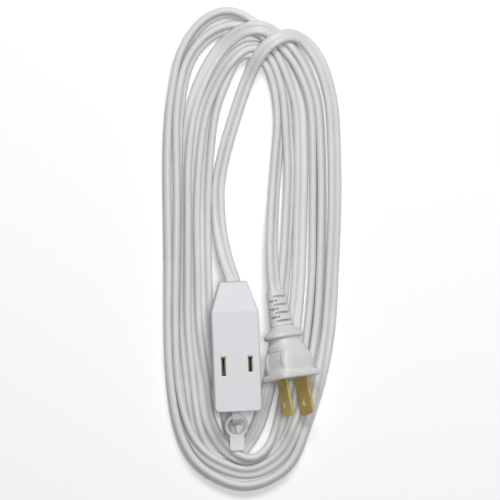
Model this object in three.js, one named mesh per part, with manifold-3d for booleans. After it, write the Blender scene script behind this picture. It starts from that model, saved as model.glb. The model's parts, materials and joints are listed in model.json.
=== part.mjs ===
// Indoor extension cord, lying as a flat hank: a flat two-core cord, a three-outlet cube tap with a
// tether ring on its end, and a polarised two-blade plug.
// Millimetres. +Z is up from the surface that the hank lies on, +Y runs along the hank towards the
// end where its turns cross, and the origin is the middle of the hank's footprint.

import * as THREE from 'three';
import { mergeVertices } from 'three/addons/utils/BufferGeometryUtils.js';
import Module from 'manifold-3d';

const wasm = await Module();
wasm.setup();

// ---------------------------------------------------------------- driving dimensions

const GAP = 0.3; // clearance between pieces that touch
const CUT = 1; // how far a cutting shape runs past the face it opens

const CORD = { width: 6.9, thickness: 3.5, corePitch: 3.45, insulation: 3.1, copper: 1.3 };

// The tap stands in its own frame: X across, Y towards the cord, Z out of the front outlet's face.
const TAP = {
  width: 22.2,
  length: 61.5,
  thickness: 20,
  wall: 2,
  taperLength: 14,
  noseWidth: 12.8,
  noseThickness: 10.5,
  cornerRadius: 2,
  centre: [-7.7, -46.3, 15.4],
  lean: 2.2,
  roll: 3,
};

const SLOT = { pitch: 12.7, width: 2.2, hotHeight: 7.25, neutralHeight: 8.9, leadIn: 0.5 };
const FRONT_OUTLETS = [-9.2];
const REAR_OUTLETS = [-20, 4];

const LUG = { x: -0.6, z: -2.9, width: 4, depth: 5.2, length: 6.4, holeDrop: 2.4, holeRadius: 1.7 };
const RING = { radius: 4.8, band: 1.7, tabWidth: 6.8, tabLength: 6.9, droop: 9 };

// The plug stands in its own frame: X from the hot blade to the neutral one, Y from the contact
// face towards the cord, Z out of a broad side.
const PLUG = {
  centre: [19.1, -61.6, 17.5],
  lean: 10.6,
  pitch: -5,
  roll: 45,
  flange: { width: 25.4, depth: 19.2, thickness: 3, round: 5 },
  bodyEnd: 25.4,
  reliefEnd: 42.6,
};
const INSERT = { width: 17, depth: 9.8, length: 8 };
const BLADE = { thickness: 1.5, hot: 6.35, neutral: 7.9, length: 17.5, holeDrop: 11.9, holeRadius: 1.6 };

const HANK = {
  sideHeight: 8,
  bottomHeight: 8.4,
  bottomStart: -88,
  crossingHeight: 16.5,
  crossingStart: 66,
  crossingEnd: 110,
};

// ---------------------------------------------------------------- finishes

const FINISH = {
  shell: { color: 0xd6d8dc, roughness: 0.42, metalness: 0 },
  cord: { color: 0xd8d8d4, roughness: 0.5, metalness: 0 },
  plug: { color: 0xdcdcda, roughness: 0.45, metalness: 0 },
  insert: { color: 0xcfcfcb, roughness: 0.6, metalness: 0 },
  ring: { color: 0xb4b4b4, roughness: 0.35, metalness: 0 },
  brass: { color: 0x8a7a3c, roughness: 0.35, metalness: 1 },
  copper: { color: 0xb36b45, roughness: 0.4, metalness: 1 },
};

// ---------------------------------------------------------------- geometry helpers

const rad = THREE.MathUtils.degToRad;

// A closed geometry as a manifold solid, with its shared vertices merged.
function solid(geometry) {
  const bare = geometry.clone();
  bare.deleteAttribute('normal');
  bare.deleteAttribute('uv');
  const merged = mergeVertices(bare, 1e-4);
  return new wasm.Manifold(new wasm.Mesh({
    numProp: 3,
    vertProperties: new Float32Array(merged.attributes.position.array),
    triVerts: new Uint32Array(merged.index.array),
  }));
}

function geometryOf(manifold) {
  const mesh = manifold.getMesh();
  const geometry = new THREE.BufferGeometry();
  geometry.setAttribute('position', new THREE.BufferAttribute(mesh.vertProperties, 3));
  geometry.setIndex(new THREE.BufferAttribute(mesh.triVerts, 1));
  const flat = geometry.toNonIndexed();
  flat.computeVertexNormals();
  return flat;
}

function union(...solids) {
  return solids.reduce((sum, next) => sum.add(next));
}

function cut(body, ...tools) {
  return tools.reduce((rest, tool) => rest.subtract(tool), body);
}

// A block between two opposite corners.
function block([x0, y0, z0], [x1, y1, z1]) {
  const geometry = new THREE.BoxGeometry(x1 - x0, y1 - y0, z1 - z0);
  geometry.translate((x0 + x1) / 2, (y0 + y1) / 2, (z0 + z1) / 2);
  return solid(geometry);
}

function extruded(shape, from, to, curveSegments = 12) {
  const geometry = new THREE.ExtrudeGeometry(shape, {
    depth: to - from,
    bevelEnabled: false,
    curveSegments,
  });
  geometry.translate(0, 0, from);
  return geometry;
}

// An outline in X and Y, extruded along Z.
function prismZ(points, from, to) {
  return solid(extruded(new THREE.Shape(points.map(([x, y]) => new THREE.Vector2(x, y))), from, to));
}

// An outline in Y and Z, extruded along X.
function prismX(points, from, to) {
  const geometry = extruded(new THREE.Shape(points.map(([y, z]) => new THREE.Vector2(y, z))), from, to);
  geometry.applyMatrix4(new THREE.Matrix4().makeBasis(
    new THREE.Vector3(0, 1, 0),
    new THREE.Vector3(0, 0, 1),
    new THREE.Vector3(1, 0, 0),
  ));
  return solid(geometry);
}

// A rod along Y.
function rodY(x, z, radius, from, to, sides = 16) {
  const geometry = new THREE.CylinderGeometry(radius, radius, to - from, sides);
  geometry.translate(x, (from + to) / 2, z);
  return solid(geometry);
}

// A rod along X.
function rodX(y, z, radius, from, to, sides = 24) {
  const geometry = new THREE.CylinderGeometry(radius, radius, to - from, sides);
  geometry.rotateZ(Math.PI / 2);
  geometry.translate((from + to) / 2, y, z);
  return solid(geometry);
}

// A closed body lofted along Y through rounded sections: each station has y, width, depth, and
// round, which is 2 for an ellipse and more for a squarer section.
function loft(stations, sides = 32) {
  const ordered = [...stations].sort((a, b) => b.y - a.y);
  const geometry = new THREE.CylinderGeometry(1, 1, 1, sides, ordered.length - 1);
  const position = geometry.attributes.position;
  const power = (value, round) => Math.sign(value) * Math.abs(value) ** (2 / round);
  for (let i = 0; i < position.count; i += 1) {
    const station = ordered[Math.round((0.5 - position.getY(i)) * (ordered.length - 1))];
    const x = power(position.getX(i), station.round) * station.width / 2;
    const z = power(position.getZ(i), station.round) * station.depth / 2;
    position.setXYZ(i, x, station.y, z);
  }
  return solid(geometry);
}

// A round tube along a smooth curve through the points.
function wire(points, diameter, steps = 8, sides = 12) {
  const section = new THREE.Shape().absarc(0, 0, diameter / 2, 0, 2 * Math.PI);
  return new THREE.ExtrudeGeometry(section, {
    steps,
    curveSegments: sides,
    extrudePath: new THREE.CatmullRomCurve3(points.map((p) => new THREE.Vector3(...p))),
  });
}

function piece(name, finish, shape) {
  const geometry = shape.isBufferGeometry ? shape : geometryOf(shape);
  const mesh = new THREE.Mesh(geometry, new THREE.MeshStandardMaterial(FINISH[finish]));
  mesh.name = name;
  return mesh;
}

// ---------------------------------------------------------------- tap

const TAP_END = TAP.length / 2;
const TAP_SHOULDER = TAP_END - TAP.taperLength;

// The tap's outline in X and Y, inset all round.
function tapOutline(inset) {
  const side = TAP.width / 2 - inset;
  const nose = TAP.noseWidth / 2 - inset * 0.8;
  const base = -TAP_END + inset;
  const corner = Math.max(TAP.cornerRadius - inset, 0.2);
  const points = [];
  for (const [centreX, start] of [[-side + corner, 180], [side - corner, 270]]) {
    for (let step = 0; step <= 3; step += 1) {
      const angle = rad(start + 30 * step);
      points.push([centreX + corner * Math.cos(angle), base + corner + corner * Math.sin(angle)]);
    }
  }
  return [
    ...points,
    [side, TAP_SHOULDER],
    [nose, TAP_END - inset],
    [-nose, TAP_END - inset],
    [-side, TAP_SHOULDER],
  ];
}

// Half of the tap's side profile in Y and Z, inset, from the parting plane outwards.
function tapProfile(inset, facing, from) {
  const face = facing * (TAP.thickness / 2 - inset);
  const nose = facing * (TAP.noseThickness / 2 - inset * 0.8);
  return [
    [-TAP_END + inset, from],
    [TAP_END - inset, from],
    [TAP_END - inset, nose],
    [TAP_SHOULDER, face],
    [-TAP_END + inset, face],
  ];
}

function tapHalf(inset, facing, from) {
  const reach = facing * TAP.thickness;
  const plan = prismZ(tapOutline(inset), Math.min(from, reach), Math.max(from, reach));
  return plan.intersect(prismX(tapProfile(inset, facing, from), -TAP.width, TAP.width));
}

// The two slots of one outlet, with a shallow wider lead-in at the face. Their tops line up.
function outletSlots(y, facing) {
  const face = facing * TAP.thickness / 2;
  const slots = [[-SLOT.pitch / 2, SLOT.neutralHeight], [SLOT.pitch / 2, SLOT.hotHeight]];
  const top = y + SLOT.neutralHeight / 2;
  return slots.flatMap(([x, height]) => [[0, TAP.wall + CUT], [SLOT.leadIn, SLOT.leadIn]]
    .map(([margin, depth]) => {
      const zs = [face - facing * depth, face + facing * CUT].sort((a, b) => a - b);
      return block(
        [x - SLOT.width / 2 - margin, top - height - margin, zs[0]],
        [x + SLOT.width / 2 + margin, top + margin, zs[1]],
      );
    }));
}

function tapShell(facing, outlets) {
  const from = facing * GAP / 2;
  const entry = block(
    [-CORD.width / 2 - GAP, TAP_END - TAP.wall - CUT, -CORD.thickness / 2 - GAP],
    [CORD.width / 2 + GAP, TAP_END + CUT, CORD.thickness / 2 + GAP],
  );
  const slots = outlets.flatMap((y) => outletSlots(y, facing));
  return cut(tapHalf(0, facing, from), tapHalf(TAP.wall, facing, from - facing * CUT), entry, ...slots);
}

// The eye on the tap's end that the tether ring is threaded through.
function tetherLug() {
  const half = LUG.depth / 2;
  const centre = -TAP_END - LUG.length + half;
  const outline = [[-TAP_END + GAP, LUG.z + half], [-TAP_END + GAP, LUG.z - half]];
  for (let step = 0; step <= 6; step += 1) {
    const angle = rad(270 - 30 * step);
    outline.push([centre + half * Math.cos(angle), LUG.z + half * Math.sin(angle)]);
  }
  return cut(
    prismX(outline, LUG.x - LUG.width / 2, LUG.x + LUG.width / 2),
    rodX(-TAP_END - LUG.holeDrop, LUG.z, LUG.holeRadius, LUG.x - LUG.width, LUG.x + LUG.width),
  );
}

// One folded brass strip: a bus bar, a pair of spring leaves at each outlet and a crimp barrel.
function tapContact(side) {
  const centre = side * SLOT.pitch / 2;
  const leaf = { offset: 1, half: 0.35, length: 6.4, reach: 7.2, bridge: 0.4 };
  const barrel = { x: side * 3.1, from: 19.6, to: 24.6, outer: 1.5, inner: 0.95 };
  const inner = centre - side * leaf.offset;
  const strip = (x) => [x - leaf.half, x + leaf.half];
  const [stripLow, stripHigh] = strip(inner);
  const [tailLow, tailHigh] = strip(barrel.x + side * barrel.inner * 1.3);
  const bus = prismZ([
    [stripLow, -24],
    [stripHigh, -24],
    [stripHigh, 12],
    [tailHigh, barrel.from - 1],
    [tailHigh, barrel.to],
    [tailLow, barrel.to],
    [tailLow, barrel.from - 1],
    [stripLow, 12],
  ], -1.4, 1.4);
  const stations = [...FRONT_OUTLETS.map((y) => [y, 1]), ...REAR_OUTLETS.map((y) => [y, -1])];
  const leaves = stations.flatMap(([y, facing]) => {
    const blind = -facing * leaf.reach;
    const zs = [blind, blind - facing * leaf.bridge].sort((a, b) => a - b);
    const span = [y - leaf.length / 2, y + leaf.length / 2];
    return [
      ...[-1, 1].map((hand) => block(
        [centre + hand * leaf.offset - leaf.half, span[0], -leaf.reach],
        [centre + hand * leaf.offset + leaf.half, span[1], leaf.reach],
      )),
      block(
        [centre - leaf.offset - leaf.half, span[0], zs[0]],
        [centre + leaf.offset + leaf.half, span[1], zs[1]],
      ),
    ];
  });
  const tube = rodY(barrel.x, 0, barrel.outer, barrel.from, barrel.to);
  const bore = rodY(barrel.x, 0, barrel.inner, barrel.from - CUT, barrel.to + CUT);
  return cut(union(bus, tube, ...leaves), bore);
}

function tapInsulation(side) {
  return wire([
    [side * CORD.corePitch / 2, TAP_END - GAP, 0],
    [side * (CORD.corePitch / 2 + 0.3), TAP_END - 2.2, 0],
    [side * 2.7, 25.4, 0],
  ], CORD.insulation);
}

function tapCopper(side) {
  return rodY(side * 3.1, 0, CORD.copper / 2, 19.2, 25, 10);
}

// The ring lies in its own frame: the hinge is the origin and the tab points to -Y.
function tetherRing() {
  const half = RING.band / 2;
  const bevel = 0.35;
  const section = [
    [-half, -half + bevel], [-half + bevel, -half], [half - bevel, -half], [half, -half + bevel],
    [half, half - bevel], [half - bevel, half], [-half + bevel, half], [-half, half - bevel],
    [-half, -half + bevel],
  ].map(([r, z]) => new THREE.Vector2(RING.radius + r, z));
  const band = new THREE.LatheGeometry(section, 40);
  band.rotateX(Math.PI / 2);
  const drop = RING.radius - 0.2;
  band.translate(0, -drop, 0);
  const root = -drop - RING.radius + 0.3;
  const tip = root - RING.tabLength - 0.3;
  const tab = prismZ([
    [-RING.tabWidth / 2, root],
    [-RING.tabWidth / 2, tip + 0.8],
    [-RING.tabWidth / 2 + 0.8, tip],
    [RING.tabWidth / 2 - 0.8, tip],
    [RING.tabWidth / 2, tip + 0.8],
    [RING.tabWidth / 2, root],
  ], -half, half);
  return union(solid(band), tab);
}

function tapGroup() {
  const group = new THREE.Group();
  group.position.set(...TAP.centre);
  group.rotation.set(0, rad(TAP.roll), rad(TAP.lean), 'ZYX');
  group.add(
    piece('tap_front_shell', 'shell', tapShell(1, FRONT_OUTLETS)),
    piece('tap_rear_shell', 'shell', union(tapShell(-1, REAR_OUTLETS), tetherLug())),
  );
  for (const [pole, side] of [['neutral', -1], ['hot', 1]]) {
    group.add(
      piece(`tap_contact_${pole}`, 'brass', tapContact(side)),
      piece(`tap_insulation_${pole}`, 'cord', tapInsulation(side)),
      piece(`tap_copper_${pole}`, 'copper', tapCopper(side)),
    );
  }
  const hinge = new THREE.Group();
  hinge.position.set(LUG.x, -TAP_END - LUG.holeDrop, LUG.z);
  hinge.rotation.x = rad(RING.droop);
  hinge.add(piece('tether_ring', 'ring', tetherRing()));
  group.add(hinge);
  return group;
}

// ---------------------------------------------------------------- plug

// The body's sections from the contact face back, grown all round where it cuts a pocket.
function plugBodyOuter(grow = 0) {
  const { flange } = PLUG;
  const stations = [
    [0 - grow, flange.width, flange.depth, flange.round],
    [flange.thickness + grow, flange.width, flange.depth, flange.round],
    [flange.thickness + grow + 0.01, 21.4, 16.6, 3.4],
    [6.4, 22, 17.2, 3.4],
    [10.6, 21.4, 17, 3.2],
    [14.6, 18, 15.2, 2.8],
    [17.4, 15.4, 13.6, 2.5],
    [19, 15.4, 13.4, 2.4],
    [19.8, 19.6, 16, 2.3],
    [21.4, 20, 16.2, 2.3],
    [22.2, 18.6, 14.8, 2.3],
    [PLUG.bodyEnd, 11.6, 8.6, 2.2],
  ];
  return loft(stations.map(([y, width, depth, round]) => (
    { y, width: width + 2 * grow, depth: depth + 2 * grow, round }
  )));
}

function plugBody() {
  const recess = block(
    [-INSERT.width / 2 - GAP, -CUT, -INSERT.depth / 2 - GAP],
    [INSERT.width / 2 + GAP, INSERT.length + GAP, INSERT.depth / 2 + GAP],
  );
  const chamber = block([-7.9, INSERT.length, -3.2], [7.9, 12.5, 3.2]);
  const channel = block([-5, 12, -3], [5, PLUG.bodyEnd + CUT, 3]);
  const grips = [-1, 1].map((side) => {
    const xs = [side * 10, side * 14].sort((a, b) => a - b);
    return block([xs[0], 5.4, -4.4], [xs[1], 13.4, 4.4]);
  });
  return cut(plugBodyOuter(), recess, chamber, channel, ...grips);
}

function bladeX(side) {
  return side * SLOT.pitch / 2;
}

function plugInsert() {
  const slots = [[-1, BLADE.hot], [1, BLADE.neutral]].map(([side, width]) => block(
    [bladeX(side) - BLADE.thickness / 2 - GAP, -CUT, -width / 2 - GAP],
    [bladeX(side) + BLADE.thickness / 2 + GAP, INSERT.length + CUT, width / 2 + GAP],
  ));
  const shape = block(
    [-INSERT.width / 2, 0, -INSERT.depth / 2],
    [INSERT.width / 2, INSERT.length, INSERT.depth / 2],
  );
  return cut(shape, ...slots);
}

// A blade with a bevelled tip and its hole, a tail that steps inwards, and a crimp barrel.
function plugBlade(side, width) {
  const x = bladeX(side);
  const half = BLADE.thickness / 2;
  const tip = -BLADE.length;
  const plate = prismX([
    [tip, -width / 2 + 1.2],
    [tip + 1.2, -width / 2],
    [7, -width / 2],
    [7, width / 2],
    [tip + 1.2, width / 2],
    [tip, width / 2 - 1.2],
  ], x - half, x + half);
  const wedge = prismZ([
    [x - half - CUT, tip - CUT],
    [x - half - CUT, 7.5],
    [x - half, 7.5],
    [x - half, tip + 2],
    [x - half + 0.45, tip - 0.01],
    [x + half - 0.45, tip - 0.01],
    [x + half, tip + 2],
    [x + half, 7.5],
    [x + half + CUT, 7.5],
    [x + half + CUT, tip - CUT],
  ], -width, width);
  const hole = rodX(-BLADE.holeDrop, 0, BLADE.holeRadius, x - 2 * half, x + 2 * half, 20);
  const barrelX = side * 3.2;
  const tail = prismZ([
    [x - half, 6.5],
    [x + half, 6.5],
    [x + half, 8],
    [barrelX + half, 12.4],
    [barrelX + half, 14],
    [barrelX - half, 14],
    [barrelX - half, 12.4],
    [x - half, 8],
  ], -1.6, 1.6);
  const barrel = rodY(barrelX, 0, 1.5, 13.4, 18.4);
  const bore = rodY(barrelX, 0, 0.95, 14.2, 18.4 + CUT);
  return cut(union(cut(plate, wedge, hole), tail, barrel), bore);
}

function plugInsulation(side) {
  const inside = side * CORD.corePitch / 2;
  return wire([
    [inside, PLUG.reliefEnd - GAP, 0],
    [inside, 30, 0],
    [inside, 25, 0],
    [side * 2.6, 20, 0],
    [side * 2.9, 18.9, 0],
  ], CORD.insulation, 10);
}

function plugCopper(side) {
  return rodY(side * 3.2, 0, CORD.copper / 2, 14.4, 18.6, 10);
}

// A tapered sleeve, slotted by turns across its broad and its narrow sides so that it bends.
function strainRelief() {
  const start = PLUG.bodyEnd + GAP;
  const end = PLUG.reliefEnd;
  const core = { width: 8.2, depth: 4.8 };
  const sleeve = loft([
    { y: start, width: 11.4, depth: 8.4, round: 2.3 },
    { y: start + 2, width: 11, depth: 8, round: 2.4 },
    { y: end - 3.4, width: 8.8, depth: 5.6, round: 2.8 },
    { y: end, width: 8.6, depth: 5.4, round: 2.8 },
  ]);
  const bore = block(
    [-CORD.width / 2 - GAP, start - CUT, -CORD.thickness / 2 - GAP],
    [CORD.width / 2 + GAP, end + CUT, CORD.thickness / 2 + GAP],
  );
  const slots = [];
  const count = 6;
  for (let index = 0; index < count; index += 1) {
    const y = start + 2.6 + index * 1.9;
    for (const side of [-1, 1]) {
      const wide = [side * core.width / 2, side * 10].sort((a, b) => a - b);
      const deep = [side * core.depth / 2, side * 10].sort((a, b) => a - b);
      slots.push(index % 2
        ? block([wide[0], y, -10], [wide[1], y + 0.8, 10])
        : block([-10, y, deep[0]], [10, y + 0.8, deep[1]]));
    }
  }
  return cut(sleeve, bore, ...slots);
}

function plugGroup() {
  const group = new THREE.Group();
  group.position.set(...PLUG.centre);
  group.rotation.set(rad(PLUG.pitch), rad(PLUG.roll), rad(PLUG.lean), 'ZXY');
  group.add(
    piece('plug_body', 'plug', plugBody()),
    piece('plug_insert', 'insert', plugInsert()),
    piece('plug_strain_relief', 'plug', strainRelief()),
  );
  for (const [pole, side, width] of [['hot', -1, BLADE.hot], ['neutral', 1, BLADE.neutral]]) {
    group.add(
      piece(`plug_blade_${pole}`, 'brass', plugBlade(side, width)),
      piece(`plug_insulation_${pole}`, 'cord', plugInsulation(side)),
      piece(`plug_copper_${pole}`, 'copper', plugCopper(side)),
    );
  }
  return group;
}

// ---------------------------------------------------------------- cord

// The hank's outer and inner edges, anticlockwise. Smooth curves run through the points.
const HANK_OUTER = [
  [43, 24], [41.6, 68], [32.5, 94], [12, 107.5], [-10, 114.5], [-30, 102], [-40.6, 72], [-43, 28],
  [-42.4, -30], [-38.6, -82], [-24, -107], [0, -114.5], [20, -104], [32, -80], [40.6, -38],
];
const HANK_INNER = [
  [15.6, 24], [16, 50], [15.6, 62], [14, 66], [8, 66.6], [-8, 66.6], [-14.4, 66], [-18, 60],
  [-19.6, 44], [-19.8, 16], [-20, -30], [-18.6, -66], [-14.6, -84], [-8, -93], [0, -88], [6, -70],
  [10.4, -44], [14, -6],
];

function smoothLoop(points, samples) {
  const curve = new THREE.CatmullRomCurve3(points.map(([x, y]) => new THREE.Vector3(x, y, 0)), true);
  return curve.getPoints(samples).slice(0, samples).map((p) => [p.x, p.y]);
}

// A pocket for the tap or the plug: its outer shape, turned and placed as the piece is.
function placed(manifold, centre, euler) {
  const matrix = new THREE.Matrix4().makeRotationFromEuler(euler).setPosition(...centre);
  const geometry = geometryOf(manifold);
  geometry.applyMatrix4(matrix);
  return solid(geometry);
}

function tapPocket() {
  const grow = 0.5;
  const shape = union(tapHalf(-grow, 1, -GAP), tapHalf(-grow, -1, GAP));
  return placed(shape, TAP.centre, new THREE.Euler(0, rad(TAP.roll), rad(TAP.lean), 'ZYX'));
}

function plugPocket() {
  const euler = new THREE.Euler(rad(PLUG.pitch), rad(PLUG.roll), rad(PLUG.lean), 'ZXY');
  return placed(plugBodyOuter(0.5), PLUG.centre, euler);
}

// The whole hank as a band: low along its sides, and high where the turns cross.
function cordCoil() {
  const outer = smoothLoop(HANK_OUTER, 60);
  const crossing = HANK.crossingStart;
  const ramp = HANK.crossingHeight - HANK.sideHeight;
  const far = 130; // past both ends of the hank
  const profile = [
    [-far, -CUT],
    [far, -CUT],
    [far, HANK.sideHeight],
    [HANK.crossingEnd + 6, HANK.sideHeight],
    [HANK.crossingEnd, HANK.crossingHeight],
    [crossing + 2 * ramp, HANK.crossingHeight],
    [crossing, HANK.sideHeight],
    [HANK.bottomStart + 4, HANK.sideHeight],
    [HANK.bottomStart, HANK.bottomHeight],
    [-far, HANK.bottomHeight],
  ];
  const band = prismZ(outer, 0, HANK.crossingHeight + CUT).intersect(prismX(profile, -60, 60));
  const hole = prismZ(smoothLoop(HANK_INNER, 48), -CUT, HANK.crossingHeight + 2 * CUT);
  return cut(band, hole, tapPocket(), plugPocket());
}

// The cord's flat section, lying on its broad side along a level route.
function flatCord(points, steps) {
  const flat = CORD.width / 2 - CORD.thickness / 2;
  const radius = CORD.thickness / 2;
  const section = new THREE.Shape();
  section.absarc(0, flat, radius, 0, Math.PI, false);
  section.absarc(0, -flat, radius, Math.PI, 2 * Math.PI, false);
  return new THREE.ExtrudeGeometry(section, {
    steps,
    curveSegments: 4,
    extrudePath: new THREE.CatmullRomCurve3(points.map((p) => new THREE.Vector3(...p))),
  });
}

// Where a point of a turned and placed group lies in the object's frame.
function inFrame(point, centre, euler) {
  return new THREE.Vector3(...point).applyEuler(euler).add(new THREE.Vector3(...centre)).toArray();
}

// The tap's end of the cord, from the tap's nose down to the hank's inner edge.
function cordLeadTap() {
  const euler = new THREE.Euler(0, rad(TAP.roll), rad(TAP.lean), 'ZYX');
  const exits = [GAP, 5].map((out) => inFrame([0, TAP_END + out, 0], TAP.centre, euler));
  return flatCord([
    ...exits,
    [-11.2, -3, 14.2],
    [-13.6, 8, 9.6],
    [-15.2, 20, 4.4],
    [-15.6, 33, 2.6],
    [-13.6, 45, 2.3],
    [-10.6, 56, 2.3],
    [-9.8, 65.4, 2.3],
  ], 24);
}

// The plug's end of the cord, from its strain relief down to the hank's inner edge.
function cordLeadPlug() {
  const euler = new THREE.Euler(rad(PLUG.pitch), rad(PLUG.roll), rad(PLUG.lean), 'ZXY');
  const reliefEnd = PLUG.reliefEnd;
  const exits = [GAP, 5].map((out) => inFrame([0, reliefEnd + out, 0], PLUG.centre, euler));
  return flatCord([
    ...exits,
    [9.3, -6, 12],
    [8.9, 8, 7.4],
    [9.2, 22, 3.4],
    [9.6, 36, 2.3],
    [9.8, 50, 2.3],
    [9.8, 65.4, 2.3],
  ], 24);
}

// ---------------------------------------------------------------- whole object

const extensionCord = new THREE.Group();
extensionCord.add(
  tapGroup(),
  plugGroup(),
  piece('cord_coil', 'cord', cordCoil()),
  piece('cord_lead_tap', 'cord', cordLeadTap()),
  piece('cord_lead_plug', 'cord', cordLeadPlug()),
);

export default extensionCord;
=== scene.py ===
import json
import math

import bmesh
import bpy
import numpy as np
from mathutils import Euler, Matrix, Vector


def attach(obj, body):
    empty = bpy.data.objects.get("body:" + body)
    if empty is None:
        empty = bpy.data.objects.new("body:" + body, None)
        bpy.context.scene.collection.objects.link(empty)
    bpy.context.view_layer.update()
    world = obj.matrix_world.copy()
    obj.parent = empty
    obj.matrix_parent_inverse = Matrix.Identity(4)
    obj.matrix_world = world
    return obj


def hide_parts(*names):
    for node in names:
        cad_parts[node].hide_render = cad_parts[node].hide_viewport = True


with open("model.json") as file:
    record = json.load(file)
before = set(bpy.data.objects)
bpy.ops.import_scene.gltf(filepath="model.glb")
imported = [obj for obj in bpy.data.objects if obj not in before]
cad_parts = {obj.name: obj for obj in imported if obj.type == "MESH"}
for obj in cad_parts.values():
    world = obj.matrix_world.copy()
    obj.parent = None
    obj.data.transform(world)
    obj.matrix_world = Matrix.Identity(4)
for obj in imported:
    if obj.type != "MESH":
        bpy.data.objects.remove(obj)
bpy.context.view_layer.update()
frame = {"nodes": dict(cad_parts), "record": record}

# Metres, +Z up from the surface that the hank lies on, +Y towards the end where its turns cross.
MM = 0.001

# ---------------------------------------------------------------- driving dimensions, in mm

CORD_WIDTH = 6.9
CORD_THICKNESS = 3.5
CORE_PITCH = CORD_WIDTH - CORD_THICKNESS
CORE_RADIUS = CORD_THICKNESS / 2
GROOVE_DEPTH_FROM_AXIS = 1.02
STEP = 2.0  # between points of the cord's centreline

TAP_CENTRE = (-7.7, -46.3, 15.4)
TAP_TURN = Euler((0, math.radians(3), math.radians(2.2)), "XYZ")
TAP_LENGTH = 61.5
TAP_WIDTH = 22.2
TAP_THICKNESS = 20

PLUG_CENTRE = (19.1, -61.6, 17.5)
PLUG_TURN = (Matrix.Rotation(math.radians(10.6), 3, "Z")
             @ Matrix.Rotation(math.radians(-5), 3, "X")
             @ Matrix.Rotation(math.radians(45), 3, "Y"))
BODY_END = 25.4
PLUG_LENGTH = 42.6
FLANGE = (25.4, 19.2, 3)  # width, depth and thickness
BODY = (21.6, 17)  # width and depth
COLLAR_END = 23

TAP_FRAME = Matrix.Translation(TAP_CENTRE) @ TAP_TURN.to_matrix().to_4x4()
PLUG_FRAME = Matrix.Translation(PLUG_CENTRE) @ PLUG_TURN.to_4x4()

# ---------------------------------------------------------------- the cord's route

# The tap's end of the cord, from the tap's nose up the inside of the left run and over every turn.
# Each point is x, y, the layer it crosses on and the cord's roll: 0 lies flat and 90 stands on edge.
TAP_LEAD = [
    (-9.9, -12, 3, 0), (-11.3, -8, 2.9, 2), (-12.6, -4, 2.7, 4), (-14.2, 3, 2, 6),
    (-15.5, 11.5, 1.4, 14), (-16, 20, 0.8, 26),
    (-15.8, 31, 0.3, 40), (-12.7, 46.5, 0.2, 44), (-8.7, 60.3, 0.8, 42), (-3.8, 75.3, 2.2, 40),
    (0.9, 86.8, 4, 42), (5.4, 94.6, 5, 46), (10.6, 99.4, 5.4, 50), (17, 101.8, 5.2, 50),
    (23, 100.4, 4.2, 46), (28.7, 95, 2.8, 40), (33.8, 86, 1.2, 40), (36.6, 76, 0.4, 42),
]
# The plug's end, from under the crossing down the inside of the right run to the strain relief.
PLUG_LEAD = [
    (13.2, 66, 0, 60), (13.3, 59, 0, 60), (12.8, 52, 0, 60), (11.7, 39.6, 0.15, 58),
    (10.6, 25.4, 0.6, 56), (9.9, 11.1, 1.3, 54), (9.6, -3.1, 2.05, 48), (10.4, -12, 2.45, 46),
]
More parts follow.
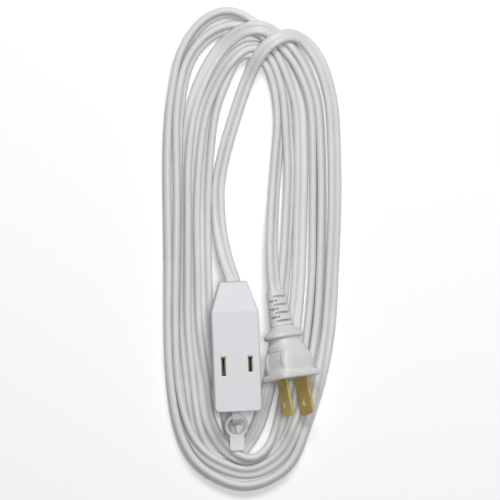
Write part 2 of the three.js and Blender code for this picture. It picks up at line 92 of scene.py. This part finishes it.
# Where the five turns pass each station, outermost run first on the way down the right side.
# A row holds the layers and rolls of the five turns there, and their five places.
RIGHT_ROLL = (40, 78, 30, 60, 80)
LEFT_ROLL = (80, 100, 50, 64, 36)
FLAT_LAYERS = (0, 0, 0, 0, 0)
STATIONS = [
    (FLAT_LAYERS, RIGHT_ROLL, [(38.5, 66), (32, 66), (22.9, 66), (16.2, 66), (28.9, 66)]),
    (FLAT_LAYERS, RIGHT_ROLL, [(39.5, 40), (33.3, 40), (23.6, 40), (18, 40), (29.5, 40)]),
    (FLAT_LAYERS, RIGHT_ROLL, [(39.4, 16), (33.4, 16), (23.1, 16), (17.2, 16), (29.4, 16)]),
    (FLAT_LAYERS, RIGHT_ROLL, [(38.2, -12), (32.8, -12), (22.4, -12), (15.6, -12), (29.1, -12)]),
    (FLAT_LAYERS, (30, 80, 16, 30, 80), [(36.6, -38), (31, -38), (20.2, -38), (12.6, -38), (27, -38)]),
    (FLAT_LAYERS, (40, 60, 8, 8, 80), [(32.4, -62), (27.4, -62), (17.4, -62), (8.9, -62), (23.8, -62)]),
    ((0, 2, 1.4, 0, 0.6), (70, 30, 30, 8, 50),
     [(26.2, -84), (21.2, -84), (13.4, -84), (3.1, -84), (19.4, -85)]),
    ((0, 2, 3, 0, 0.6), (75, 20, 64, 8, 50),
     [(18, -103.7), (14, -98.6), (8.4, -95.8), (-3.4, -94.4), (12, -97.5)]),
    ((0, 2, 3, 0, 0.6), (75, 15, 78, 10, 50),
     [(0.2, -113.1), (0.4, -106.2), (0.2, -101.2), (-9.5, -101), (3.2, -102.6)]),
    ((0, 2, 3, 0, 0.4), (70, 18, 60, 30, 50),
     [(-13.6, -110.7), (-11, -104.4), (-8.4, -98), (-16.2, -102), (-4.4, -101.4)]),
    ((0, 1.6, 2.4, 0, 0.2), (70, 40, 20, 50, 45),
     [(-27.7, -101.1), (-23, -97.4), (-15.2, -91.6), (-21.6, -95), (-9, -93.6)]),
    ((0, 0.6, 1, 0, 0), (75, 70, 18, 60, 30),
     [(-35.4, -84), (-31, -84), (-20.9, -80), (-26, -84), (-11.6, -78)]),
    (FLAT_LAYERS, (80, 86, 16, 34, 20),
     [(-38.7, -62), (-35.2, -62), (-22.8, -62), (-29.4, -62), (-16.6, -62)]),
    (FLAT_LAYERS, (80, 90, 40, 50, 30),
     [(-39.6, -38), (-36.4, -38), (-26, -38), (-31.4, -38), (-20.8, -38)]),
    (FLAT_LAYERS, LEFT_ROLL, [(-39.7, -12), (-35.7, -12), (-26.4, -12), (-31.2, -12), (-21.9, -12)]),
    (FLAT_LAYERS, LEFT_ROLL, [(-40, 16), (-35.1, 16), (-26.9, 16), (-31, 16), (-22.3, 16)]),
    (FLAT_LAYERS, (80, 112, 52, 70, 56), [(-40.3, 40), (-34.9, 40), (-26.1, 40), (-30.8, 40), (-20.9, 40)]),
    ((0, 0.5, 0.6, 1, 0), (82, 118, 46, 45, 64),
     [(-39.7, 60), (-34.9, 60), (-23.8, 60), (-29.5, 60), (-18.7, 60)]),
    ((0, 1, 0.9, 1.6, 0), (84, 122, 34, 25, 68),
     [(-38.4, 71), (-34, 71), (-20.5, 71), (-26.9, 71), (-16.2, 71)]),
    ((0.2, 1.2, 1.2, 2, 0), (86, 126, 30, 15, 72),
     [(-36.7, 79.6), (-32.7, 79.6), (-16.3, 79.6), (-23.9, 79.6), (-13.3, 78.6)]),
    ((0.4, 1.4, 1.5, 2.4, 0), (98, 128, 36, 12, 76),
     [(-35.1, 88.9), (-30.2, 88.4), (-11, 87.9), (-19.3, 88.6), (-10.8, 84.9)]),
    ((0.6, 1.4, 1.6, 2.7, 0), (110, 130, 42, 10, 78),
     [(-30.6, 98.4), (-25, 96.6), (-6, 93.4), (-13.5, 96.7), (-9, 89.6)]),
    ((0.7, 1.3, 1.6, 2.8, 0), (122, 130, 36, 10, 80),
     [(-25.4, 105.4), (-19.6, 101.6), (-1.2, 96.3), (-7.6, 101.8), (-5.7, 92.7)]),
    ((0.8, 1.2, 1.6, 2.9, 0), (128, 128, 36, 10, 80),
     [(-18.3, 110.8), (-13, 104.8), (3, 97.3), (-1, 105.1), (-1.7, 93.9)]),
    ((0.9, 1.1, 1.6, 3, 0), (128, 120, 38, 12, 78),
     [(-10.6, 112.8), (-5.6, 105.6), (6.9, 95.8), (5.2, 105.1), (2.4, 93.5)]),
    ((0.9, 1, 1.5, 3, 0), (120, 104, 50, 18, 76),
     [(-4, 110.5), (1.6, 103.4), (9.6, 92), (11.2, 102.2), (5.9, 91.4)]),
    ((0.8, 0.9, 1.2, 2.8, 0), (104, 86, 54, 30, 72),
     [(2.9, 105.4), (8, 98.4), (11.8, 86.8), (15.9, 97), (8.3, 88)]),
    ((0.6, 0.7, 0.8, 2.2, 0), (90, 66, 58, 46, 68),
     [(13.2, 100.2), (13.4, 91.4), (13.7, 81.2), (20.2, 91), (9.8, 84.4)]),
    ((0.3, 0.4, 0.4, 1.4, 0), (82, 48, 60, 62, 64),
     [(22.8, 91.5), (17.6, 83), (14.9, 76), (23.6, 84.4), (11.1, 80.2)]),
    ((0, 0.2, 0.1, 0.8, 0), (80, 36, 60, 74, 62),
     [(27.8, 80.4), (20.6, 74.8), (15.9, 70.8), (26.7, 76.8), (12.3, 75)]),
]
LAYER = 4.6  # how much higher each layer starts

# ---------------------------------------------------------------- laying the cord

def resampled(points, step):
    """The points of a smooth curve through points, a step apart: x, y, z and roll."""
    points = np.array(points, float)
    padded = np.vstack([2 * points[0] - points[1], points, 2 * points[-1] - points[-2]])
    fine = []
    for index in range(1, len(padded) - 2):
        a, b, c, d = padded[index - 1:index + 3]
        for t in np.linspace(0, 1, 24, endpoint=False):
            fine.append(0.5 * (2 * b + (c - a) * t + (2 * a - 5 * b + 4 * c - d) * t ** 2
                               + (3 * b - a - 3 * c + d) * t ** 3))
    fine.append(padded[-2])
    fine = np.array(fine)
    along = np.concatenate([[0], np.cumsum(np.linalg.norm(np.diff(fine[:, :3], axis=0), axis=1))])
    places = np.linspace(0, along[-1], int(round(along[-1] / step)) + 1)
    return np.stack([np.interp(places, along, fine[:, k]) for k in range(4)], axis=1)


def hank_route():
    """The whole cord, from the tap's nose to the plug's strain relief."""
    nose = [TAP_FRAME @ Vector((0, TAP_LENGTH / 2 + out, 0)) for out in (-1.5, 1)]
    relief = [PLUG_FRAME @ Vector((0, PLUG_LENGTH + out, 0)) for out in (5, -1.5)]
    route = [(*p, -6) for p in nose]
    route += [(x, y, CORE_RADIUS + LAYER * layer, roll) for x, y, layer, roll in TAP_LEAD]
    for turn in range(5):
        for layers, rolls, places in STATIONS:
            x, y = places[turn]
            route.append((x, y, CORE_RADIUS + LAYER * layers[turn], rolls[turn]))
    route += [(x, y, CORE_RADIUS + LAYER * layer, roll) for x, y, layer, roll in PLUG_LEAD]
    route += [(*p, 45) for p in relief]
    return resampled(route, STEP)


def unit(vectors):
    return vectors / np.linalg.norm(vectors, axis=1)[:, None]


def broad_way(centres, rolls):
    """The way that the cord's broad side runs across it, at each point."""
    tangent = unit(np.gradient(centres, axis=0))
    side = unit(np.cross(tangent, (0, 0, 1)))
    up = np.cross(side, tangent)
    roll = np.radians(rolls)[:, None]
    return side * np.cos(roll) + up * np.sin(roll)


def across(centres, broad):
    """The broad way at each point, square to the cord there."""
    tangent = unit(np.gradient(centres, axis=0))
    return unit(broad - tangent * np.sum(broad * tangent, axis=1)[:, None])


def near_pairs(cores, count, reach, apart):
    """Pairs of core points closer than reach that aren't neighbours along the cord."""
    cell = np.floor(cores / reach).astype(int)
    buckets = {}
    for index, key in enumerate(map(tuple, cell)):
        buckets.setdefault(key, []).append(index)
    shifts = [(a, b, c) for a in (-1, 0, 1) for b in (-1, 0, 1) for c in (-1, 0, 1)]
    first, second = [], []
    for key, members in buckets.items():
        others = [j for s in shifts for j in buckets.get((key[0] + s[0], key[1] + s[1], key[2] + s[2]), ())]
        others = np.array(others)
        for i in members:
            chosen = others[(others > i) & (np.abs(others % count - i % count) > apart)]
            first.append(np.full(len(chosen), i))
            second.append(chosen)
    return np.concatenate(first), np.concatenate(second)


def clear_of_tap(cores, radius):
    """Moves core points out of the tap, by the shortest way out that isn't up."""
    turn = np.array(TAP_FRAME.to_3x3())
    local = (cores - np.array(TAP_CENTRE)) @ turn
    half = np.array([TAP_WIDTH / 2, TAP_LENGTH / 2, TAP_THICKNESS / 2]) + radius
    inside = np.all(np.abs(local) < half, axis=1)
    sideways = half[0] - np.abs(local[:, 0])
    down = local[:, 2] + half[2]
    go_down = inside & (down < sideways)
    go_aside = inside & ~go_down
    local[go_down, 2] = -half[2]
    local[go_aside, 0] = np.sign(local[go_aside, 0]) * half[0]
    cores[inside] = local[inside] @ turn.T + np.array(TAP_CENTRE)


def clear_of_plug(cores, radius):
    """Moves core points out of the plug's flange and body."""
    turn = np.array(PLUG_FRAME.to_3x3())
    local = (cores - np.array(PLUG_CENTRE)) @ turn
    flange = (local[:, 1] > -radius) & (local[:, 1] < FLANGE[2] + radius)
    body = (local[:, 1] >= FLANGE[2] + radius) & (local[:, 1] < COLLAR_END)
    for region, width, depth, square in ((flange, FLANGE[0], FLANGE[1], 4), (body, *BODY, 3)):
        a, b = width / 2 + radius, depth / 2 + radius
        level = (np.abs(local[:, 0] / a) ** square + np.abs(local[:, 2] / b) ** square) ** (1 / square)
        hit = region & (level < 1)
        local[hit, 0] /= level[hit]
        local[hit, 2] /= level[hit]
        cores[hit] = local[hit] @ turn.T + np.array(PLUG_CENTRE)


# How the cord settles, per round.
ROUNDS = 420
CALM_ROUNDS = 80  # the last rounds, in which it sinks more slowly
FALL, CALM_FALL = 0.14, 0.03
PLAN_PULL = 0.12  # the share of its drift from the planned route that a point gives back
BEND_STIFFNESS_UP, BEND_STIFFNESS_ASIDE = 0.45, 0.2
TWIST_STIFFNESS = 3
ROLL_PULL = 0.1
CONTACT_ASIDE = 0.6  # contacts lift a run more readily than they push it aside
CONTACT_RATE = 1.6
STIFF_END = 32  # how many steps from each end its fittings hold the cord up
SMOOTHING_PASSES = 8
ROUNDS_PER_SEARCH = 8  # how often the pairs of runs that may touch are looked for
SEARCH_MARGIN = 1.2
NEIGHBOURS = 6  # points this close along the cord never count as touching


def settled(route):
    """Lets the cord's two cores sink onto the floor and onto each other, and keeps the plan of the route."""
    count = len(route)
    centres = route[:, :3].copy()
    broad = broad_way(centres, route[:, 3])
    plan = centres[:, :2].copy()
    held = np.zeros(count, bool)
    held[:3] = held[-4:] = True
    start, start_broad = centres.copy(), broad.copy()
    touch = CORD_THICKNESS + 0.05
    carried = np.full(count, CORE_RADIUS)
    for end in (slice(0, STIFF_END), slice(-STIFF_END, None)):
        carried[end] = start[end, 2]
    for index in range(ROUNDS):
        centres[:, 2] -= FALL if index < ROUNDS - CALM_ROUNDS else CALM_FALL
        centres[:, :2] += PLAN_PULL * (plan - centres[:, :2])
        smooth = (centres[:-2] + centres[2:]) / 2 - centres[1:-1]
        centres[1:-1, 2] += BEND_STIFFNESS_UP * smooth[:, 2]
        centres[1:-1, :2] += BEND_STIFFNESS_ASIDE * smooth[:, :2]
        for _ in range(TWIST_STIFFNESS):
            broad[1:-1] += 0.5 * ((broad[:-2] + broad[2:]) / 2 - broad[1:-1])
        broad += ROLL_PULL * (broad_way(centres, route[:, 3]) - broad)
        broad = across(centres, broad)
        cores = np.vstack([centres + broad * CORE_PITCH / 2, centres - broad * CORE_PITCH / 2])
        if index % ROUNDS_PER_SEARCH == 0:
            first, second = near_pairs(cores, count, touch + SEARCH_MARGIN, NEIGHBOURS)
        gap = cores[first] - cores[second]
        distance = np.linalg.norm(gap, axis=1)
        close = distance < touch
        push = gap[close] / distance[close][:, None] * ((touch - distance[close]) / 2)[:, None]
        push[:, :2] *= CONTACT_ASIDE
        moves = np.zeros_like(cores)
        weight = np.zeros(len(cores))
        np.add.at(moves, first[close], push)
        np.add.at(moves, second[close], -push)
        np.add.at(weight, first[close], 1)
        np.add.at(weight, second[close], 1)
        cores += moves / np.maximum(weight, 1)[:, None] * CONTACT_RATE
        clear_of_tap(cores, CORE_RADIUS)
        clear_of_plug(cores, CORE_RADIUS)
        cores[:, 2] = np.maximum(cores[:, 2], CORE_RADIUS + 0.02)
        centres = (cores[:count] + cores[count:]) / 2
        centres[:, 2] = np.maximum(centres[:, 2], carried)
        broad = unit(cores[:count] - cores[count:])
        centres[held], broad[held] = start[held], start_broad[held]
    for _ in range(SMOOTHING_PASSES):
        centres[4:-4] += 0.5 * ((centres[3:-5] + centres[5:-3]) / 2 - centres[4:-4])
        broad[4:-4] += 0.5 * ((broad[3:-5] + broad[5:-3]) / 2 - broad[4:-4])
    broad = across(centres, broad)
    lowest = CORE_RADIUS + np.abs(broad[:, 2]) * CORE_PITCH / 2
    centres[:, 2] = np.maximum(centres[:, 2], lowest)
    return centres, broad


def cord_section():
    """Half the cord's figure-of-eight section and its mirror: broad way, thick way, in mm."""
    half = [(CORE_PITCH / 2 + CORE_RADIUS * math.cos(a), CORE_RADIUS * math.sin(a))
            for a in np.radians(np.linspace(-116, 116, 13))]
    groove = GROOVE_DEPTH_FROM_AXIS
    return half + [(0, groove)] + [(-x, -y) for x, y in half] + [(0, -groove)]


def linked(name, work):
    """A bmesh as a named object, with its faces outwards."""
    bmesh.ops.recalc_face_normals(work, faces=work.faces)
    mesh = bpy.data.meshes.new(name)
    work.to_mesh(mesh)
    work.free()
    piece = bpy.data.objects.new(name, mesh)
    bpy.context.scene.collection.objects.link(piece)
    return piece


def swept(name, rings):
    """A closed skin through rings of points, in mm: a grid wrapped round them, with its ends filled."""
    rings = np.concatenate([rings, rings[:, :1]], axis=1)
    work = bmesh.new()
    bmesh.ops.create_grid(work, x_segments=rings.shape[1] - 1, y_segments=rings.shape[0] - 1, size=1)
    for vertex, place in zip(work.verts, rings.reshape(-1, 3)):
        vertex.co = Vector(place) * MM
    bmesh.ops.remove_doubles(work, verts=work.verts, dist=0.0005 * MM)
    ends = [edge for edge in work.edges if edge.is_boundary]
    bmesh.ops.holes_fill(work, edges=ends, sides=0)
    for face in work.faces:
        face.smooth = len(face.verts) == 4
    return linked(name, work)


def cord_rings(centres, broad):
    """The cord's section placed at every centre."""
    thick = np.cross(broad, unit(np.gradient(centres, axis=0)))
    section = np.array(cord_section())
    return (centres[:, None, :] + broad[:, None, :] * section[None, :, :1]
            + thick[:, None, :] * section[None, :, 1:])


def placed(rings, turned_frame):
    """Rings given in a piece's own frame, in the object's frame."""
    turn = np.array(turned_frame.to_3x3())
    return rings @ turn.T + np.array(turned_frame.translation)


SIDES = 72
AROUND = np.linspace(0, 2 * math.pi, SIDES, endpoint=False)


def section(width, depth, squareness):
    """A rounded section: 2 is an ellipse, and more is squarer."""
    def bulge(wave):
        return np.sign(wave) * np.abs(wave) ** (2 / squareness)
    return np.stack([bulge(np.cos(AROUND)) * width / 2, bulge(np.sin(AROUND)) * depth / 2], axis=1)


def ring(y, width, depth, squareness):
    """A section's points at a place along a piece."""
    outline = section(width, depth, squareness)
    return np.stack([outline[:, 0], np.full(SIDES, y), outline[:, 1]], axis=1)


def eased(value):
    """A value from 0 to 1 with a soft start and a soft end."""
    value = np.clip(value, 0, 1)
    return value * value * (3 - 2 * value)


def plug_body():
    """The moulded body: contact flange, crowned body with a finger recess on each side, waist and collar."""
    width, depth, thickness = FLANGE
    edge, lip = 0.5, 0.12
    flange = [(0, width - 2 * edge, depth - 2 * edge, 5), (lip, width - edge, depth - edge, 5),
              (edge, width, depth, 5), (thickness - edge, width, depth, 5),
              (thickness - lip, width - edge, depth - edge, 5),
              (thickness, width - 2 * edge, depth - 2 * edge, 5)]
    body = [(3.1, 22.4, 17.6, 3.8), (3.6, 21.6, 16.8, 3.5), (5, 21.8, 17, 3.4), (7, 22, 17.2, 3.4),
            (9, 21.9, 17.2, 3.3), (11, 21, 16.8, 3.2), (13, 19.4, 16, 3), (15, 17.4, 14.8, 2.8),
            (17, 15.7, 13.7, 2.5), (18.4, 15.2, 13.3, 2.4), (19.1, 15.9, 13.6, 2.4), (19.5, 18, 14.8, 2.3),
            (19.9, 19.7, 16, 2.3), (20.5, 20.1, 16.3, 2.3), (21.1, 20, 16.2, 2.3), (21.7, 19.2, 15.4, 2.3),
            (22.6, 17, 13.3, 2.3), (23.7, 14.2, 10.8, 2.3), (24.7, 12.4, 9.3, 2.3),
            (BODY_END, 11.7, 8.7, 2.3)]
    rows = np.vstack([flange, resampled(body, 0.4)])
    rings = np.array([ring(*row) for row in rows])
    grip_middle, step_width, grip_from = 9.4, 0.6, 6
    on_sides = np.abs(rings[..., 0]) > grip_from
    for half_length, half_height, sunk in ((5.6, 6.4, 0.55), (4.4, 4.9, 0.75)):
        within = (eased((half_length - np.abs(rings[..., 1] - grip_middle)) / step_width)
                  * eased((half_height - np.abs(rings[..., 2])) / step_width) * on_sides)
        rings[..., 0] -= np.sign(rings[..., 0]) * within * sunk
    return swept("plug_moulding", placed(rings, PLUG_FRAME))


def strain_relief():
    """The tapered sleeve, notched to the cord by turns on its broad and its narrow sides."""
    start, slot, pitch, wall = BODY_END + 0.1, 0.95, 1.95, 0.1
    first_slot, slots, end_round = 1.7, 7, 0.4
    core = section(7.3, 3.9, 2.8)
    narrow = (np.abs(np.cos(AROUND)) > 0.62)[:, None]
    broad_side = (np.abs(np.sin(AROUND)) > 0.5)[:, None]
    rows = [(start, None)]
    for level in range(slots):
        low = start + first_slot + level * pitch
        notch = narrow if level % 2 else broad_side
        rows += [(low, None), (low + wall, notch), (low + slot, notch), (low + slot + wall, None)]
    rows += [(PLUG_LENGTH - end_round, None), (PLUG_LENGTH - 0.1, None), (PLUG_LENGTH, None)]
    rings = []
    for y, notch in rows:
        along = (y - start) / (PLUG_LENGTH - start)
        tip = 0.5 * max(0, y - PLUG_LENGTH + end_round) / end_round
        taper = 2.6 * along + tip
        sleeve = section(12 - taper, 9 - taper, 2.5)
        outline = sleeve if notch is None else np.where(notch, core, sleeve)
        rings.append(np.stack([outline[:, 0], np.full(SIDES, y), outline[:, 1]], axis=1))
    piece = swept("plug_sleeve", placed(np.array(rings), PLUG_FRAME))
    for face in piece.data.polygons:
        face.use_smooth = False
    return piece


def refined(name, source, rounding, outside=None):
    """A CAD node's shape with its outer edges rounded."""
    work = bmesh.new()
    work.from_mesh(frame["nodes"][source].data)
    bmesh.ops.remove_doubles(work, verts=work.verts, dist=0.002 * MM)
    bmesh.ops.dissolve_limit(work, angle_limit=math.radians(0.5), verts=work.verts, edges=work.edges)
    corners = [edge for edge in work.edges
               if len(edge.link_faces) == 2 and edge.calc_face_angle_signed() > math.radians(25)
               and (outside is None or all(outside(vertex.co) for vertex in edge.verts))]
    rounded = bmesh.ops.bevel(work, geom=corners, offset=rounding * MM, offset_type="OFFSET", segments=3,
                              profile=0.5, affect="EDGES", clamp_overlap=True, material=-1)
    for face in work.faces:
        face.smooth = False
    for face in rounded["faces"]:
        face.smooth = True
    return linked(name, work)


def outside_tap(place):
    """Whether a corner is on the tap's outer skin rather than on a slot or inside it."""
    local = TAP_FRAME.inverted() @ (place / MM)
    side_margin, nose_length, exit_half_width, exit_half_height, seam = 2.4, 14.5, 5, 4, 0.5
    nose_start = TAP_LENGTH / 2 - nose_length
    on_side = abs(local.x) > TAP_WIDTH / 2 - side_margin and local.y < nose_start
    on_nose = local.y > nose_start and (abs(local.x) > exit_half_width or abs(local.z) > exit_half_height)
    return (on_side or on_nose) and abs(local.z) > seam


# ---------------------------------------------------------------- materials

def linear(code):
    """An sRGB hex colour as linear RGBA."""
    values = [int(code[i:i + 2], 16) / 255 for i in (1, 3, 5)]
    return (*[v / 12.92 if v <= 0.04045 else ((v + 0.055) / 1.055) ** 2.4 for v in values], 1)


def node(tree, kind, links=None, **settings):
    """Adds a node with its settings, and links its inputs."""
    added = tree.nodes.new(kind)
    for key, value in settings.items():
        if key.startswith("in_"):
            added.inputs[key[3:].replace("_", " ")].default_value = value
        else:
            setattr(added, key, value)
    for key, source in (links or {}).items():
        tree.links.new(source, added.inputs[key])
    return added


def moulded(name, light, shade, roughness, grain_mm, bump, subsurface=0.0):
    """A plastic whose colour drifts a little, with a fine moulded grain in its roughness and bump."""
    material = bpy.data.materials.new(name)
    material.use_nodes = True
    tree = material.node_tree
    shader = tree.nodes["Principled BSDF"]
    where = node(tree, "ShaderNodeTexCoord").outputs["Object"]
    drift = node(tree, "ShaderNodeTexNoise", {"Vector": where}, in_Scale=1 / (9 * MM), in_Detail=3.0)
    grain = node(tree, "ShaderNodeTexNoise", {"Vector": where}, in_Scale=1 / (grain_mm * MM), in_Detail=4.0)
    colour = node(tree, "ShaderNodeMix", {"Factor": drift.outputs["Fac"]}, data_type="RGBA")
    colour.inputs["A"].default_value = linear(shade)
    colour.inputs["B"].default_value = linear(light)
    tree.links.new(colour.outputs["Result"], shader.inputs["Base Color"])
    rough = node(tree, "ShaderNodeMapRange", {"Value": grain.outputs["Fac"]})
    rough.inputs["To Min"].default_value = roughness - 0.06
    rough.inputs["To Max"].default_value = roughness + 0.08
    tree.links.new(rough.outputs["Result"], shader.inputs["Roughness"])
    relief = node(tree, "ShaderNodeBump", {"Height": grain.outputs["Fac"]},
                  in_Strength=bump, in_Distance=0.05 * MM)
    tree.links.new(relief.outputs["Normal"], shader.inputs["Normal"])
    shader.inputs["IOR"].default_value = 1.5
    if subsurface:
        shader.inputs["Subsurface Weight"].default_value = subsurface
        shader.inputs["Subsurface Scale"].default_value = 1.2 * MM
        shader.inputs["Subsurface Radius"].default_value = (1, 0.9, 0.8)
    return material


# Extruded soft PVC: satin, a little waxy, with a faint grain from the die.
cord_vinyl = moulded("extruded_pvc_white", "#DCDCDB", "#D0D0CF", 0.46, 0.6, 0.25, 0.06)
# Moulded rigid PVC: smooth and slightly glossy, cool white.
shell_vinyl = moulded("moulded_pvc_cool_white", "#CBCCD0", "#C6C8CC", 0.38, 0.45, 0.15, 0.04)
# Moulded soft PVC of the plug: satin, a shade warmer than the tap.
plug_vinyl = moulded("moulded_soft_pvc_white", "#DADAD8", "#D3D3D1", 0.42, 0.5, 0.2, 0.05)
# Moulded bridge between the blades: matt off-white ABS, a little darker than the skin round it.
insert_plastic = moulded("moulded_abs_off_white", "#D6D6D2", "#CFCFCA", 0.5, 0.4, 0.2)
# Uncoloured polypropylene of the ring: milky, smooth and slightly see-through at its thin edges.
ring_plastic = moulded("natural_polypropylene", "#EEEEEB", "#E4E4E2", 0.34, 0.5, 0.15, 0.25)


def worn_metal(name, light, shade, roughness, streak_mm):
    """A stamped metal whose tarnish drifts, with fine streaks along the way it was rolled."""
    material = bpy.data.materials.new(name)
    material.use_nodes = True
    tree = material.node_tree
    shader = tree.nodes["Principled BSDF"]
    shader.inputs["Metallic"].default_value = 0.75
    where = node(tree, "ShaderNodeTexCoord").outputs["Object"]
    tarnish = node(tree, "ShaderNodeTexNoise", {"Vector": where}, in_Scale=1 / (4 * MM), in_Detail=5.0)
    drawn = node(tree, "ShaderNodeMapping", {"Vector": where})
    drawn.inputs["Scale"].default_value = (1, 0.12, 1)
    streaks = node(tree, "ShaderNodeTexNoise", {"Vector": drawn.outputs["Vector"]},
                   in_Scale=1 / (streak_mm * MM), in_Detail=3.0)
    colour = node(tree, "ShaderNodeMix", {"Factor": tarnish.outputs["Fac"]}, data_type="RGBA")
    colour.inputs["A"].default_value = linear(shade)
    colour.inputs["B"].default_value = linear(light)
    tree.links.new(colour.outputs["Result"], shader.inputs["Base Color"])
    rough = node(tree, "ShaderNodeMapRange", {"Value": streaks.outputs["Fac"]})
    rough.inputs["To Min"].default_value = roughness - 0.08
    rough.inputs["To Max"].default_value = roughness + 0.12
    tree.links.new(rough.outputs["Result"], shader.inputs["Roughness"])
    relief = node(tree, "ShaderNodeBump", {"Height": streaks.outputs["Fac"]},
                  in_Strength=0.2, in_Distance=0.03 * MM)
    tree.links.new(relief.outputs["Normal"], shader.inputs["Normal"])
    return material


# Stamped brass strip, lightly tarnished to an olive yellow.
brass = worn_metal("stamped_brass", "#EED890", "#CDB870", 0.5, 0.5)
# Brass spring strip of the contacts, darkened to a dark brown as painted shade of the slots they sit deep
# in.
slot_shaded_brass = worn_metal("brass_darkened_as_slot_shade", "#9A8468", "#6E5A46", 0.5, 0.5)
# Bare annealed copper strands.
copper = worn_metal("bare_copper", "#C98A62", "#A8633F", 0.38, 0.4)

# ---------------------------------------------------------------- pieces

def made(piece, material, slot, body, *nodes):
    """Gives a piece its material and its body, and hides the nodes that it stands for."""
    piece.data.materials.clear()
    piece.data.materials.append(material)
    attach(piece, body)
    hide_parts(*nodes)
    return piece


centres, broad = settled(hank_route())
cord = made(swept("cord", cord_rings(centres, broad)), cord_vinyl, "cord_vinyl", "cord_set",
            "cord_coil", "cord_lead_tap", "cord_lead_plug")
made(refined("tap_face_half", "tap_front_shell", 0.55, outside=outside_tap), shell_vinyl, "tap_shell",
     "cord_set", "tap_front_shell")
made(refined("tap_back_half", "tap_rear_shell", 0.55, outside=outside_tap), shell_vinyl, "tap_shell",
     "cord_set", "tap_rear_shell")
made(refined("hanging_ring", "tether_ring", 0.25), ring_plastic, "ring", "ring", "tether_ring")
moulding = made(plug_body(), plug_vinyl, "plug_vinyl", "cord_set", "plug_body")
sleeve = made(strain_relief(), plug_vinyl, "plug_vinyl", "cord_set", "plug_strain_relief")
blades = [made(refined("blade_" + pole, "plug_blade_" + pole, 0.18), brass, "brass", "cord_set",
               "plug_blade_" + pole)
          for pole in ("hot", "neutral")]

FINISHES = {
    "tap_shell": shell_vinyl,
    "plug_vinyl": plug_vinyl,
    "cord_vinyl": cord_vinyl,
    "insert": insert_plastic,
    "ring": ring_plastic,
    "brass": brass,
    "copper": copper,
}
for row in frame["record"]["subparts"]:
    shown = frame["nodes"][row["node"]]
    shown.data.materials.clear()
    # The contacts get the brass that is darkened as painted shade of their slots.
    is_contact = row["node"].startswith("tap_contact")
    shown.data.materials.append(slot_shaded_brass if is_contact else FINISHES[row["material_slot"]])

# ---------------------------------------------------------------- floor, light and camera

def pale_floor():
    """A wide matt white board under the hank."""
    work = bmesh.new()
    bmesh.ops.create_grid(work, x_segments=1, y_segments=1, size=6)
    mesh = bpy.data.meshes.new("floor")
    work.to_mesh(mesh)
    work.free()
    floor = bpy.data.objects.new("floor", mesh)
    bpy.context.scene.collection.objects.link(floor)
    material = bpy.data.materials.new("matt_white_board")
    material.use_nodes = True
    shader = material.node_tree.nodes["Principled BSDF"]
    shader.inputs["Base Color"].default_value = (0.93, 0.93, 0.93, 1)
    shader.inputs["Roughness"].default_value = 0.9
    shader.inputs["Emission Color"].default_value = (1, 1, 1, 1)
    shader.inputs["Emission Strength"].default_value = 0.1
    mesh.materials.append(material)


def soft_light(name, place, aim, size, power):
    """A rectangular softbox at a place, aimed at a point."""
    data = bpy.data.lights.new(name, "AREA")
    data.shape = "RECTANGLE"
    data.size, data.size_y = size
    data.energy = power
    light = bpy.data.objects.new(name, data)
    light.location = place
    light.rotation_euler = (Vector(aim) - Vector(place)).to_track_quat("-Z", "Y").to_euler()
    bpy.context.scene.collection.objects.link(light)


def camera():
    """A camera high above the hank that looks straight down."""
    height, field, focus_height = 3.0, 0.2370, 0.008
    data = bpy.data.cameras.new("camera")
    data.sensor_width = 36
    data.lens = data.sensor_width * (height - focus_height) / field
    data.clip_end = 50
    eye = bpy.data.objects.new("camera", data)
    eye.location = (-0.0007, -0.0007, height)
    bpy.context.scene.collection.objects.link(eye)
    bpy.context.scene.camera = eye


def surroundings():
    """The dim even light of the room."""
    world = bpy.data.worlds.new("soft_room")
    world.use_nodes = True
    world.node_tree.nodes["Background"].inputs["Color"].default_value = (1, 1, 1, 1)
    world.node_tree.nodes["Background"].inputs["Strength"].default_value = 0.07
    bpy.context.scene.world = world


bpy.context.scene.view_settings.view_transform = "Standard"
pale_floor()
surroundings()
soft_light("key", (0.1, 0.75, 1), (0, 0, 0), (0.6, 0.4), 9)
soft_light("overhead", (0.1, 0, 1.3), (0, 0, 0), (0.35, 0.35), 7.5)
camera()
